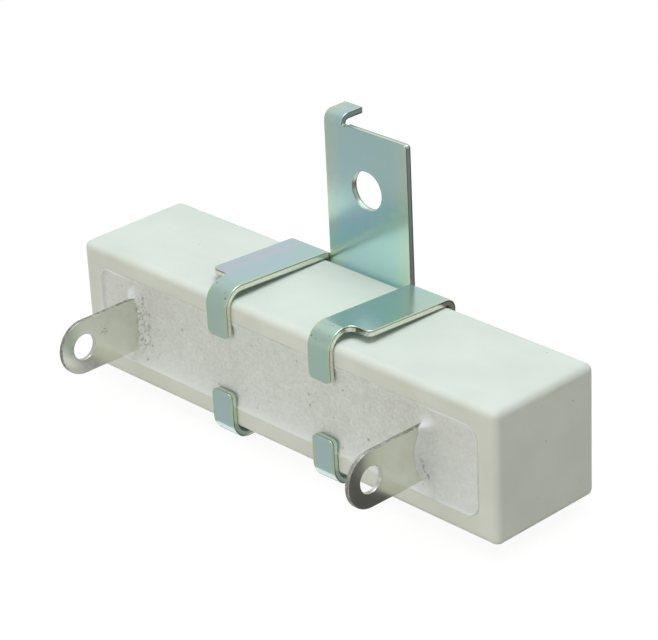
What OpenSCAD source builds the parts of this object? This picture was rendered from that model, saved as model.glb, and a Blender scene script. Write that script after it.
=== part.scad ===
// Cement resistor with solder lugs in a folded sheet-steel mounting bracket.
// Frame, in millimetres: the origin is the centre of the screw hole, on the rear face of the
// bracket's tab. X runs along the resistor, Y points back into the panel it is screwed to, Z is up.

/* [Ceramic case] */
// Length of the case along X
case_l = 60; // [54:0.5:80]
// Depth of the case, front rim to rear wall
case_d = 14; // [12.5:0.5:20]
// Height of the case
case_h = 14.5; // [13:0.5:20]
// Top, bottom and rear walls round the cavity
case_wall = 2.25; // [1.5:0.05:2.6]
// End walls of the cavity
end_wall = 2.4; // [1.5:0.1:4]
// Radius on the outer edges of the case
case_edge_r = 0.85; // [0.3:0.05:1]
// Radius of the corners of the cavity's mouth
cavity_r = 1.6; // [0.5:0.1:2.5]
// How far the case sits to the right of the bracket's middle
case_shift = 0.5; // [-1:0.1:1]

/* [Cement] */
// How far the cement stands below the rim between the lugs
fill_dip = 0.12; // [0.05:0.01:0.4]
// How far it stands below the rim outside the lugs
pocket_dip = 0.5; // [0.45:0.05:1]
// Run of the fillet of cement that climbs the outer face of each lug
climb_run = 1.2; // [0.6:0.1:2]

/* [Resistance element] */
// Diameter of the core rod
core_d = 4.8; // [3:0.1:5.2]
// Wall of the drawn end caps
cap_wall = 0.45; // [0.3:0.05:0.7]
// Length of an end cap
cap_l = 5; // [3:0.5:7]
// Radius on the closed end of a cap
cap_edge_r = 0.4; // [0.2:0.05:0.5]
// Clearance between a cap and the rod, and round the element in the cement
fit = 0.05; // [0.02:0.01:0.1]
// Diameter of the resistance wire
wire_d = 0.4; // [0.2:0.05:0.5]
// Pitch of the winding
wire_pitch = 1.6; // [1.2:0.1:2.4]
// How far the element lies over the middle of the case
element_rise = 0.15; // [-0.5:0.05:0.5]

/* [Lugs] */
// Distance of the lugs from the ends of the case, the mean of both ends
lug_inset = 8.85; // [7.5:0.05:11]
// Width of the strap
lug_w = 6; // [5:0.1:7.2]
// Thickness of the strap
lug_t = 0.5; // [0.3:0.05:0.8]
// Hole for the wire
lug_hole_d = 2.8; // [2:0.1:3.6]
// Distance of the hole in front of the case
lug_reach = 7.5; // [6:0.1:12]

/* [Bracket] */
// Thickness of the steel sheet
sheet_t = 0.7; // [0.5:0.05:1]
// Inside radius of the sharp bends
bend_r = 0.6; // [0.4:0.05:0.75]
// Inside radius of the bends that wrap the front edges
wrap_r = 1.6; // [1.2:0.1:2]
// Width of an arm
arm_w = 5.5; // [4.8:0.1:7]
// Gap between an arm and the case at the rear bend
arm_seat = 0.1; // [0.05:0.05:0.3]
// Angle at which the arms spring away from the case towards the front
arm_slope = 3; // [2.5:0.5:5]
// Width of the fingers that hook over the front
finger_w = 3; // [2:0.1:3.8]
// How far a finger reaches over the front face
finger_grip = 4.1; // [3.5:0.1:5.5]
// Length of finger-wide strip between an arm and its front bend
neck_l = 0.9; // [0.85:0.05:2]
// Radius of the fillet where an arm narrows to its finger
notch_r = 0.8; // [0.3:0.05:0.85]
// Radius of the outer corners of fingers, arms and tab
corner_r = 0.6; // [0.2:0.05:0.9]

/* [Tab] */
// Width of the tab
tab_w = 11.7; // [10:0.1:16]
// Diameter of the screw hole
hole_d = 4.2; // [3.2:0.1:5.3]
// Height of the screw hole over the top of the case
hole_rise = 9.25; // [7:0.25:14]
// Height of the tab over the middle of the hole
tab_over = 6.45; // [5:0.05:9]
// Width of the hook that stops the bracket turning
hook_w = 2.5; // [1.8:0.1:3.5]
// How far the hook reaches behind the tab
hook_reach = 2.45; // [2:0.05:4]
// How far the top of the hook stands over the edge of the tab
hook_over = 0.95; // [0.9:0.05:1.5]
// Width of the round relief beside the hook
relief_w = 0.7; // [0.5:0.05:1]
// Width of the shear cut between the tab and an arm
shear_gap = 0.12; // [0.05:0.01:0.3]

/* [Hidden] */
$fn = 64;

// How far a cutter runs past the faces it opens
over = 1;

// Rounds a length that follows from others up to a whole micrometre, so that faces meant to lie in
// one plane do
function micron(v) = ceil(v * 1000) / 1000;

// The case and its cavity, open at the front
rear_y = -sheet_t;
front_y = rear_y - case_d;
case_top = -hole_rise;
case_mid_z = case_top - case_h / 2;
cavity_l = case_l - 2 * end_wall;
cavity_h = case_h - 2 * case_wall;
cavity_d = case_d - case_wall;

// The element lies half way into the cavity, with its middle at the bracket's, and the lugs on its ends
lug_pitch = case_l - 2 * lug_inset;
axis_y = front_y + cavity_d / 2;
axis_z = case_mid_z + element_rise;
cap_bore = core_d + 2 * fit;
cap_d = cap_bore + 2 * cap_wall;
element_l = lug_pitch - lug_t;
core_l = element_l - 2 * cap_wall;
lug_hole_y = front_y - lug_reach;
lug_outer_x = (lug_pitch + lug_t) / 2;

// The winding, a tube of few sides whose rings clear the rod between them
wire_sides = 6;
turn_steps = 16;
wire_run = element_l - 2 * cap_l - wire_d - 2 * fit;
wire_steps = ceil(turn_steps * wire_run / wire_pitch);
coil_r = (core_d + wire_d) / 2 / cos(180 / turn_steps) + fit / 2;

// The fillet of cement by a lug is an arc that ends flat on the floor of its pocket
climb_rise = pocket_dip - fill_dip;
climb_r = micron((climb_run * climb_run + climb_rise * climb_rise) / (2 * climb_rise));

// The bracket's plate ends just short of the rear bends, whose leads lie in it
arm_x = tab_w / 2 + shear_gap;
plate_w = 2 * (arm_x + arm_w);
plate_top_z = case_top - bend_r;
plate_low_z = 2 * case_mid_z - plate_top_z;

// The arms' slope, at a cosine of five decimals for the same reason as whole micrometres
slope = acos(round(cos(arm_slope) * 1e5) / 1e5);
rear_bend_z = micron(case_top + arm_seat - bend_r * cos(slope));
arm_run = micron((case_d - bend_r - wrap_r - (wrap_r - bend_r) * sin(slope)) / cos(slope));
shoulder_run = arm_run - neck_l;
front_bend_z = case_top + arm_seat + arm_run * sin(slope) - wrap_r * cos(slope);
finger_run = micron(front_bend_z - (case_top - finger_grip));

// The hook, and what each bend has of flat before it and of turn past its end
hook_x = tab_w / 2 - hook_w;
hook_bend_z = tab_over + hook_over - bend_r - sheet_t;
hook_run = hook_reach - bend_r;
bend_lead = sheet_t;
bend_trim = 5;

// A rectangle about the origin with round corners
module rounded_rect(w, h, r) {
    square([w - 2 * r, h], center = true);
    square([w, h - 2 * r], center = true);
    for (x = [-1, 1], y = [-1, 1])
        translate([x * (w / 2 - r), y * (h / 2 - r)])
            circle(r);
}

// A strip that runs up from the X axis, with its far corners rounded
module strip(w, l, r) {
    square([w, l - r]);
    translate([r, 0])
        square([w - 2 * r, l]);
    for (x = [r, w - r])
        translate([x, l - r])
            circle(r);
}

// A block about the origin with all its edges rounded
module rounded_block(l, d, h, r) {
    intersection() {
        linear_extrude(h, center = true)
            rounded_rect(l, d, r);
        rotate([90, 0, 0])
            linear_extrude(d, center = true)
                rounded_rect(l, h, r);
        rotate([90, 0, 90])
            linear_extrude(l, center = true)
                rounded_rect(d, h, r);
    }
}

// A prism of the cavity's outline between two depths on Y
module cavity_prism(from, to) {
    translate([case_shift, to, case_mid_z])
        rotate([90, 0, 0])
            linear_extrude(to - from)
                rounded_rect(cavity_l, cavity_h, cavity_r);
}

// Pressed ceramic trough, open at the front
module ceramic_case() {
    color("#e3e8e0")
        difference() {
            translate([case_shift, front_y + case_d / 2, case_mid_z])
                rounded_block(case_l, case_d, case_h, case_edge_r);
            cavity_prism(front_y - over, front_y + cavity_d);
        }
}

// Cutter for the sunk pocket outside the right-hand lug, with the fillet that climbs the lug
module pocket() {
    floor_y = front_y + pocket_dip;
    foot_x = lug_outer_x + climb_run;
    translate([foot_x, floor_y - climb_r, case_mid_z]) {
        cylinder(r = climb_r, h = cavity_h + over, center = true);
        translate([0, 0, -(cavity_h + over) / 2])
            cube([case_l, climb_r, cavity_h + over]);
    }
}

// Quartz cement that fills the cavity round the element
module cement_fill() {
    color("#bdbeb6")
        difference() {
            cavity_prism(front_y + fill_dip, front_y + cavity_d);
            for (side = [0, 1])
                mirror([side, 0, 0])
                    pocket();
            along_axis()
                cylinder(d = cap_d + 2 * fit, h = element_l + lug_t, center = true);
            for (side = [-1, 1])
                lug_blank(side, fit);
        }
}

// Turns Z on to the axis of the element
module along_axis() {
    translate([0, axis_y, axis_z])
        rotate([0, 90, 0])
            children();
}

// Ceramic rod that carries the winding
module core_rod() {
    color("#e8e4d8")
        along_axis()
            cylinder(d = core_d, h = core_l, center = true);
}

// One vertex of the winding's tube: k counts round the wire, i along the coil
function coil_vertex(i, k) =
    let (turn = 360 * i / turn_steps,
         round = 360 * k / wire_sides,
         r = coil_r + wire_d / 2 * cos(round))
    [r * cos(turn), r * sin(turn), wire_run * (i / wire_steps - 0.5) + wire_d / 2 * sin(round)];

// Resistance wire wound along the rod from cap to cap
module resistance_wire() {
    ring = [for (k = [0 : wire_sides - 1]) k];
    last = wire_steps * wire_sides;
    color("#8c8274")
        along_axis()
            polyhedron(
                points = [for (i = [0 : wire_steps], k = ring) coil_vertex(i, k)],
                faces = [
                    for (i = [0 : wire_steps - 1], k = ring)
                        let (a = i * wire_sides, b = a + wire_sides, n = (k + 1) % wire_sides)
                            each [[a + k, b + k, b + n], [a + k, b + n, a + n]],
                    ring,
                    [for (k = ring) last + wire_sides - 1 - k]
                ]);
}

// Drawn steel cup pressed on an end of the rod: its closed end lies under the lug
module end_cap(side) {
    color("#b9bcbe")
        along_axis()
            mirror([0, 0, side > 0 ? 1 : 0])
                translate([0, 0, -element_l / 2])
                    rotate_extrude()
                        difference() {
                            union() {
                                square([cap_d / 2 - cap_edge_r, cap_l]);
                                translate([0, cap_edge_r])
                                    square([cap_d / 2, cap_l - cap_edge_r]);
                                translate([cap_d / 2 - cap_edge_r, cap_edge_r])
                                    circle(cap_edge_r);
                            }
                            translate([0, cap_wall])
                                square([cap_bore / 2, cap_l]);
                        }
}

module end_cap_left() end_cap(-1);

module end_cap_right() end_cap(1);

// Strap across X with two round ends, one on the cap and one out in front, grown by a clearance
module lug_blank(side, grow = 0) {
    translate([side * lug_pitch / 2, lug_hole_y, axis_z])
        rotate([90, 0, 90])
            linear_extrude(lug_t + 2 * grow, center = true) {
                for (y = [0, axis_y - lug_hole_y])
                    translate([y, 0])
                        circle(d = lug_w + 2 * grow);
                translate([0, -lug_w / 2 - grow])
                    square([axis_y - lug_hole_y, lug_w + 2 * grow]);
            }
}

// Tinned strap welded flat to the end of a cap, with a hole for the wire
module lug(side) {
    color("#a9aa9e")
        difference() {
            lug_blank(side);
            translate([side * lug_pitch / 2, lug_hole_y, axis_z])
                rotate([0, 90, 0])
                    cylinder(d = lug_hole_d, h = lug_t + over, center = true);
        }
}

module lug_left() lug(-1);

module lug_right() lug(1);

// Sheet over an outline. A flat's own frame has X across it, Y along its run and Z through the
// sheet, from the face against the case at 0 to the outer face.
module flat() {
    linear_extrude(sheet_t)
        children();
}

// Bend towards the face at 0, across the sheet from x to x + w, with a short lead that lies in the
// flat before it. It is turned a little too far and trimmed square, and what follows is laid on there.
module bend(angle, r, x, w) {
    translate([x, -bend_lead, 0])
        cube([w, bend_lead, sheet_t]);
    translate([0, 0, -r]) {
        difference() {
            rotate([0, -90, 0])
                rotate_extrude(angle = angle + bend_trim)
                    translate([r, -x - w])
                        square([sheet_t, w]);
            rotate([-angle, 0, 0])
                translate([x - over, 0, 0])
                    cube([w + 2 * over, r + sheet_t, r + 2 * sheet_t]);
        }
        rotate([-angle, 0, 0])
            translate([0, 0, r])
                children();
    }
}

// Carries a flat's frame on to the rear plate, with its run upwards and its width to the left
module on_plate(z = 0) {
    translate([0, rear_y, z])
        rotate([90, 0, 180])
            children();
}

// Outline of an arm: full width as far as its shoulder, then a neck as wide as the finger
module arm_outline() {
    strip(arm_w, shoulder_run, corner_r);
    square([finger_w, arm_run]);
    translate([finger_w, shoulder_run])
        difference() {
            square(notch_r);
            translate([notch_r, notch_r])
                circle(notch_r);
        }
}

// One arm: bent off the plate, over the case, and down the front as a finger
module arm() {
    on_plate(rear_bend_z)
        bend(90 - slope, bend_r, arm_x, arm_w) {
            flat()
                translate([arm_x, 0])
                    arm_outline();
            translate([0, arm_run, 0])
                bend(90 + slope, wrap_r, arm_x, finger_w)
                    flat()
                        translate([arm_x, 0])
                            strip(finger_w, finger_run, corner_r);
        }
}

// Outline of the plate behind the case and of the tab that runs up from it
module plate_outline() {
    difference() {
        union() {
            translate([-plate_w / 2, plate_low_z])
                square([plate_w, plate_top_z - plate_low_z]);
            translate([-tab_w / 2, plate_low_z])
                strip(tab_w, tab_over - plate_low_z, corner_r);
        }
        circle(d = hole_d);
        translate([hook_x, hook_bend_z])
            square([hook_w + over, tab_over]);
        translate([hook_x - relief_w / 2, hook_bend_z + relief_w / 2]) {
            circle(d = relief_w);
            translate([-relief_w / 2, 0])
                square([relief_w, tab_over]);
        }
    }
}

// Folded steel bracket, one piece of sheet
module mounting_bracket() {
    color("#8fb4b6") {
        on_plate()
            flat()
                plate_outline();
        on_plate(hook_bend_z)
            translate([0, 0, sheet_t])
                mirror([0, 0, 1])
                    bend(90, bend_r, hook_x, hook_w)
                        flat()
                            translate([hook_x, 0])
                                square([hook_w, hook_run]);
        for (side = [0, 1], level = [0, 1])
            mirror([side, 0, 0])
                translate([0, 0, level * 2 * case_mid_z])
                    mirror([0, 0, level])
                        arm();
    }
}

ceramic_case();
cement_fill();
core_rod();
resistance_wire();
end_cap_left();
end_cap_right();
lug_left();
lug_right();
mounting_bracket();
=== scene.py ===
# A cement resistor held in a folded mounting bracket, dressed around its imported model.
# Pieces are shaped in millimetres, in the part's own frame, and settled into metres at the end:
# X runs along the resistor, Y points back into the panel it is screwed to, and Z is up.

import math
import random

import bmesh
import bpy
import numpy as np
from mathutils import Matrix, Vector, noise
from mathutils.bvhtree import BVHTree


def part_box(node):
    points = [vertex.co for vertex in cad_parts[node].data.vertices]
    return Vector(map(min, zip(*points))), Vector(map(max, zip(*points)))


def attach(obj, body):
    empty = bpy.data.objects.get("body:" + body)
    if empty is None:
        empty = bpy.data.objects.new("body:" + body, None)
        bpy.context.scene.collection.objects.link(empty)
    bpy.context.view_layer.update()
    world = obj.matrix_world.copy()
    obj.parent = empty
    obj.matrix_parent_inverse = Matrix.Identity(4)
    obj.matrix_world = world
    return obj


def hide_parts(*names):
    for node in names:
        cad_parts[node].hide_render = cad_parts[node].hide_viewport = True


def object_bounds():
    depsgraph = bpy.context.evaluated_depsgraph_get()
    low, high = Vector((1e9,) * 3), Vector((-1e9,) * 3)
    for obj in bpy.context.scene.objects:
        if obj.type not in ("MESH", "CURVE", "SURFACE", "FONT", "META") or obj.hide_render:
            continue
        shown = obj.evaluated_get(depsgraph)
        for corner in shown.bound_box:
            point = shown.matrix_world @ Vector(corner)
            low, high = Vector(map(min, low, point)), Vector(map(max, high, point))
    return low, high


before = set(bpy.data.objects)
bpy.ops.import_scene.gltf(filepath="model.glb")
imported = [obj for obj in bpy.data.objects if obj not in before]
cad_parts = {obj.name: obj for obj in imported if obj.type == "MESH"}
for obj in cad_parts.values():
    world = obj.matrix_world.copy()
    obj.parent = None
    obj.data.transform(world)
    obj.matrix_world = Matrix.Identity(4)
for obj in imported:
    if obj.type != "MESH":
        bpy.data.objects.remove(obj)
cad_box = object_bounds()
mm = 0.001

# Core rod
# A rod of fired steatite, dry pressed and left unglazed, that carries the winding inside the cement.
# It is a dull cream white with a fine grain. The solid is right as it is and only takes its finish.


def linear(code):
    """A colour as written for a screen, in linear light."""
    parts = [int(code[i:i + 2], 16) / 255 for i in (1, 3, 5)]
    return tuple(c / 12.92 if c < 0.04045 else ((c + 0.055) / 1.055) ** 2.4 for c in parts) + (1.0,)


def put(tree, kind, sockets=None, stops=None, **settings):
    """Adds a node, with its settings, the stops of its ramp, and a value or a wire for each socket."""
    made = tree.nodes.new(kind)
    for name, value in settings.items():
        setattr(made, name, value)
    if stops:
        ramp = made.color_ramp.elements
        for _ in stops[2:]:
            ramp.new(0.5)
        for element, (place, colour) in zip(ramp, stops):
            element.position = place
            element.color = linear(colour)
    for name, value in (sockets or {}).items():
        if isinstance(value, bpy.types.NodeSocket):
            tree.links.new(value, made.inputs[name])
        else:
            made.inputs[name].default_value = value
    return made


def new_finish(name):
    """An empty material, its node tree, and the place on the piece in metres."""
    finish = bpy.data.materials.new(name)
    finish.use_nodes = True
    tree = finish.node_tree
    tree.nodes.clear()
    place = put(tree, "ShaderNodeTexCoord").outputs["Object"]
    return finish, tree, place


def end_finish(tree, **sockets):
    """Closes a material with its shader. A socket's name has its spaces as underscores."""
    wires = {name.replace("_", " "): value for name, value in sockets.items()}
    shader = put(tree, "ShaderNodeBsdfPrincipled", wires)
    put(tree, "ShaderNodeOutputMaterial", {"Surface": shader.outputs["BSDF"]})


def dress(node, finish):
    """Gives a CAD node that stays in view its finish."""
    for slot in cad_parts[node].material_slots:
        slot.material = finish


steatite, tree, place = new_finish("steatite_unglazed")
steatite_grain = put(tree, "ShaderNodeTexNoise", {"Vector": place, "Scale": 1 / (0.2 * mm), "Detail": 3.0})
steatite_tone = put(tree, "ShaderNodeValToRGB", {"Fac": steatite_grain.outputs["Fac"]},
                    stops=[(0.3, "#d9d2c2"), (0.7, "#ebe6da")])
steatite_bump = put(tree, "ShaderNodeBump", {"Height": steatite_grain.outputs["Fac"], "Strength": 0.3,
                                             "Distance": 0.02 * mm})
end_finish(tree, Base_Color=steatite_tone.outputs["Color"], Roughness=0.6,
           Normal=steatite_bump.outputs["Normal"])
dress("core_rod", steatite)

# Resistance wire
# Drawn nickel-chrome wire, wound on the rod from cap to cap and fired, which leaves a thin dark oxide.
# It shows the die's fine lines and patches of heat tint. It is hidden in the cement.
nichrome, tree, place = new_finish("nichrome_oxidised")
heat_tint = put(tree, "ShaderNodeTexNoise", {"Vector": place, "Scale": 1 / (2 * mm), "Detail": 2.0})
wire_tone = put(tree, "ShaderNodeValToRGB", {"Fac": heat_tint.outputs["Fac"]},
                stops=[(0.35, "#6f675c"), (0.65, "#989083")])
die_lines = put(tree, "ShaderNodeTexNoise", {"Vector": place, "Scale": 1 / (0.08 * mm), "Detail": 1.0})
wire_rough = put(tree, "ShaderNodeMapRange", {"Value": die_lines.outputs["Fac"], "To Min": 0.28,
                                              "To Max": 0.5})
end_finish(tree, Base_Color=wire_tone.outputs["Color"], Metallic=1.0,
           Roughness=wire_rough.outputs["Result"])
dress("resistance_wire", nichrome)

# End caps
# Cups drawn from thin steel strip and plated with nickel, pressed on the ends of the rod. The wire and
# the lugs are welded to them. Drawing leaves faint scores along the wall. They are hidden too.
cap_plating, tree, place = new_finish("nickel_plated_steel")
draw_along = put(tree, "ShaderNodeMapping", {"Vector": place, "Scale": (0.1, 1.0, 1.0)})
draw_scores = put(tree, "ShaderNodeTexNoise", {"Vector": draw_along.outputs["Vector"],
                                               "Scale": 1 / (0.15 * mm), "Detail": 2.0})
cap_tone = put(tree, "ShaderNodeValToRGB", {"Fac": draw_scores.outputs["Fac"]},
               stops=[(0.3, "#b3b1a8"), (0.7, "#cbc9c0")])
cap_rough = put(tree, "ShaderNodeMapRange", {"Value": draw_scores.outputs["Fac"], "To Min": 0.2,
                                             "To Max": 0.36})
end_finish(tree, Base_Color=cap_tone.outputs["Color"], Metallic=1.0, Roughness=cap_rough.outputs["Result"])
for cap in ("end_cap_left", "end_cap_right"):
    dress(cap, cap_plating)

# Lugs
# Straps stamped from tinned strip, with round ends and a hole for the wire, welded flat on the caps.
# The punch rolls over the edges a little. The tin is dull, with lines from rolling and a few scuffs.
lug_low, lug_high = (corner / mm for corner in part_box("lug_right"))
lug_mid = (lug_low + lug_high) / 2
lug_size = lug_high - lug_low
lug_pitch = lug_mid.x - (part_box("lug_left")[0].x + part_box("lug_left")[1].x) / 2 / mm
wire_hole_r = 1.4
wire_punch_l = 2
hole_margin = 0.3
bitten_place = (-20.9, -19.5, -15.3)
stamp_roll = 0.07

# A normal counts as pointing along an axis from this cosine on, and two places this close are one
face_on = 0.9
same_spot = 0.01


def choose(mode, test):
    """Selects, in edit mode, the vertices, edges or faces of the active piece that pass a test."""
    bpy.ops.mesh.select_mode(type=mode)
    bpy.ops.mesh.select_all(action="DESELECT")
    form = bmesh.from_edit_mesh(bpy.context.object.data)
    for part in {"VERT": form.verts, "EDGE": form.edges, "FACE": form.faces}[mode]:
        if test(part):
            part.select_set(True)
    form.select_flush_mode()
    bmesh.update_edit_mesh(bpy.context.object.data)


def middle(part):
    """The middle of an edge or a face."""
    return sum((v.co for v in part.verts), Vector()) / len(part.verts)


def length_along(edge, axis):
    """How far an edge runs along one axis."""
    return abs(edge.verts[0].co[axis] - edge.verts[1].co[axis])


def take(piece):
    """Makes one piece the only one that is selected."""
    bpy.ops.object.select_all(action="DESELECT")
    piece.select_set(True)
    bpy.context.view_layer.objects.active = piece


def modify(piece, kind, **settings):
    """Puts a modifier on a piece, sets it and applies it."""
    made = piece.modifiers.new(kind.lower(), kind)
    for name, value in settings.items():
        setattr(made, name, value)
    take(piece)
    bpy.ops.object.modifier_apply(modifier=made.name)


def cut_away(piece, cutter):
    """Takes the cutter's shape out of a piece and deletes the cutter."""
    modify(piece, "BOOLEAN", operation="DIFFERENCE", object=cutter, solver="EXACT")
    bpy.data.objects.remove(cutter)


def room_for_edges(piece):
    """Makes room on a piece for the finish of its faces and for that of its cut edges."""
    piece.data.materials.append(None)
    piece.data.materials.append(None)


def smooth(piece, degrees):
    """Shades bends and rolled edges smooth, and keeps the flats flat up to their edges."""
    take(piece)
    bpy.ops.object.shade_smooth_by_angle(angle=math.radians(degrees))
    modify(piece, "WEIGHTED_NORMAL", weight=100, keep_sharp=True)


def settle(piece, node, slot, *finishes):
    """Turns a finished piece to metres and fixes it in the place of its CAD node, with its finishes."""
    take(piece)
    piece.scale = (mm, mm, mm)
    bpy.ops.object.transform_apply(location=True, rotation=True, scale=True)
    for place, finish in enumerate(finishes):
        if place == len(piece.data.materials):
            piece.data.materials.append(None)
        piece.data.materials[place] = finish
    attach(piece, "root")
    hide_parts(node)


bpy.ops.object.select_all(action="DESELECT")
bpy.ops.mesh.primitive_cube_add(size=1, location=lug_mid, scale=lug_size)
stamped_lug = bpy.context.object
stamped_lug.name = "stamped_lug_right"
bpy.ops.object.transform_apply(location=True, rotation=True, scale=True)
bpy.ops.object.mode_set(mode="EDIT")
choose("EDGE", lambda e: length_along(e, 0) > lug_size.x / 2)
bpy.ops.mesh.bevel(offset=lug_size.z / 2, segments=20, affect="EDGES", clamp_overlap=True)
bpy.ops.mesh.select_all(action="SELECT")
bpy.ops.mesh.remove_doubles(threshold=0.001)
bpy.ops.object.mode_set(mode="OBJECT")
wire_hole = Vector((lug_mid.x, lug_low.y + lug_size.z / 2, lug_mid.z))
bpy.ops.mesh.primitive_cylinder_add(vertices=96, radius=wire_hole_r, depth=wire_punch_l,
                                    rotation=(0, math.pi / 2, 0), location=wire_hole)
cut_away(stamped_lug, bpy.context.object)
modify(stamped_lug, "BEVEL", width=stamp_roll, segments=3, limit_method="ANGLE",
       angle_limit=math.radians(40))
smooth(stamped_lug, 50)
room_for_edges(stamped_lug)
for face in stamped_lug.data.polygons:
    in_hole = (face.center - wire_hole).length < wire_hole_r + hole_margin
    face.material_index = 1 if abs(face.normal.x) < face_on and not in_hole else 0

take(stamped_lug)
bpy.ops.object.duplicate()
other_lug = bpy.context.object
other_lug.name = "stamped_lug_left"
other_lug.location.x -= lug_pitch
bpy.ops.object.transform_apply(location=True, rotation=True, scale=True)

# Tin over brass strip. Rolling leaves fine lines along the strap, handling soft grey clouds, and a
# clip has bitten the left lug beside its hole
tinned_strip, tree, place = new_finish("tinned_strip")
roll_along = put(tree, "ShaderNodeMapping", {"Vector": place, "Scale": (1.0, 0.06, 1.0)})
roll_lines = put(tree, "ShaderNodeTexNoise", {"Vector": roll_along.outputs["Vector"],
                                              "Scale": 1 / (0.12 * mm), "Detail": 3.0})
tin_cloud = put(tree, "ShaderNodeTexNoise", {"Vector": place, "Scale": 1 / (2.5 * mm), "Detail": 4.0,
                                             "Roughness": 0.6})
tin_tone = put(tree, "ShaderNodeValToRGB", {"Fac": tin_cloud.outputs["Fac"]},
               stops=[(0.3, "#dedfd3"), (0.7, "#e9eae0")])
bite_along = put(tree, "ShaderNodeMapping", {"Vector": place, "Rotation": (0.9, 0.0, 0.0),
                                             "Scale": (1.0, 0.35, 1.0)})
bites = put(tree, "ShaderNodeTexNoise", {"Vector": bite_along.outputs["Vector"], "Scale": 1 / (0.22 * mm),
                                         "Detail": 1.0})
bite_deep = put(tree, "ShaderNodeMapRange", {"Value": bites.outputs["Fac"], "From Min": 0.58,
                                             "From Max": 0.64})
bite_away = put(tree, "ShaderNodeVectorMath", {0: place, 1: Vector(bitten_place) * mm}, operation="DISTANCE")
bite_near = put(tree, "ShaderNodeMapRange", {"Value": bite_away.outputs["Value"], "From Min": 0.5 * mm,
                                             "From Max": 0.9 * mm, "To Min": 0.7, "To Max": 0.0})
bite_mask = put(tree, "ShaderNodeMath", {0: bite_deep.outputs["Result"], 1: bite_near.outputs["Result"]},
                operation="MULTIPLY")
tin_colour = put(tree, "ShaderNodeMix", {0: bite_mask.outputs["Value"], 6: tin_tone.outputs["Color"],
                                         7: linear("#6f6f66")}, data_type="RGBA")
tin_rough = put(tree, "ShaderNodeMapRange", {"Value": tin_cloud.outputs["Fac"], "From Min": 0.3,
                                             "From Max": 0.7, "To Min": 0.11, "To Max": 0.2})
tin_bump = put(tree, "ShaderNodeBump", {"Height": roll_lines.outputs["Fac"], "Strength": 0.12,
                                        "Distance": 0.01 * mm})
end_finish(tree, Base_Color=tin_colour.outputs[2], Metallic=1.0, Roughness=tin_rough.outputs["Result"],
           Normal=tin_bump.outputs["Normal"])

# The sheared edge: brass torn by the shear under a thin, dull skin of tin, so it is darker than the faces
sheared_edge, tree, place = new_finish("sheared_tin_edge")
torn = put(tree, "ShaderNodeTexNoise", {"Vector": place, "Scale": 1 / (0.3 * mm), "Detail": 3.0})
torn_tone = put(tree, "ShaderNodeValToRGB", {"Fac": torn.outputs["Fac"]},
                stops=[(0.35, "#8b8c84"), (0.65, "#c2c3b9")])
torn_rough = put(tree, "ShaderNodeMapRange", {"Value": torn.outputs["Fac"], "To Min": 0.2, "To Max": 0.45})
end_finish(tree, Base_Color=torn_tone.outputs["Color"], Metallic=1.0, Roughness=torn_rough.outputs["Result"])
settle(stamped_lug, "lug_right", "tinned_lug", tinned_strip, sheared_edge)
settle(other_lug, "lug_left", "tinned_lug", tinned_strip, sheared_edge)

# Ceramic case
# A trough of white electrical ceramic, pressed from powder and fired without a glaze. Its edges come
# round from the die, its skin is matt with a faint grain, and a few iron specks show in it.
case_low, case_high = (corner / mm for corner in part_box("ceramic_case"))
case_mid = (case_low + case_high) / 2
case_edge_r = 0.85
case_wall = 2.25
end_wall = 2.4
cavity_r = 1.6
cavity_lip_r = 0.1
lip_margin = 0.05
plug_proud = 2
cavity_size = Vector((case_high.x - case_low.x - 2 * end_wall, case_high.y - case_low.y - case_wall,
                      case_high.z - case_low.z - 2 * case_wall))

bpy.ops.object.select_all(action="DESELECT")
bpy.ops.mesh.primitive_cube_add(size=1, location=case_mid, scale=case_high - case_low)
pressed_case = bpy.context.object
pressed_case.name = "pressed_case"
bpy.ops.object.transform_apply(location=True, rotation=True, scale=True)
bpy.ops.object.mode_set(mode="EDIT")
bpy.ops.mesh.select_all(action="SELECT")
bpy.ops.mesh.bevel(offset=case_edge_r, segments=8, affect="EDGES")
bpy.ops.object.mode_set(mode="OBJECT")

cavity_mid = Vector((case_mid.x, case_low.y + cavity_size.y / 2 - plug_proud / 2, case_mid.z))
bpy.ops.mesh.primitive_cube_add(size=1, location=cavity_mid, scale=cavity_size + Vector((0, plug_proud, 0)))
cavity_form = bpy.context.object
bpy.ops.object.transform_apply(location=True, rotation=True, scale=True)
bpy.ops.object.mode_set(mode="EDIT")
choose("EDGE", lambda e: length_along(e, 1) > cavity_size.y / 2)
bpy.ops.mesh.bevel(offset=cavity_r, segments=12, affect="EDGES")
bpy.ops.object.mode_set(mode="OBJECT")
cut_away(pressed_case, cavity_form)

take(pressed_case)
bpy.ops.object.mode_set(mode="EDIT")
choose("EDGE", lambda e: all(abs(v.co.y - case_low.y) < same_spot for v in e.verts)
       and any(not f.normal.y < -face_on for f in e.link_faces)
       and abs(middle(e).x - case_mid.x) < cavity_size.x / 2 + lip_margin
       and abs(middle(e).z - case_mid.z) < cavity_size.z / 2 + lip_margin)
bpy.ops.mesh.bevel(offset=cavity_lip_r, segments=4, affect="EDGES")
bpy.ops.object.mode_set(mode="OBJECT")
smooth(pressed_case, 40)

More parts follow.
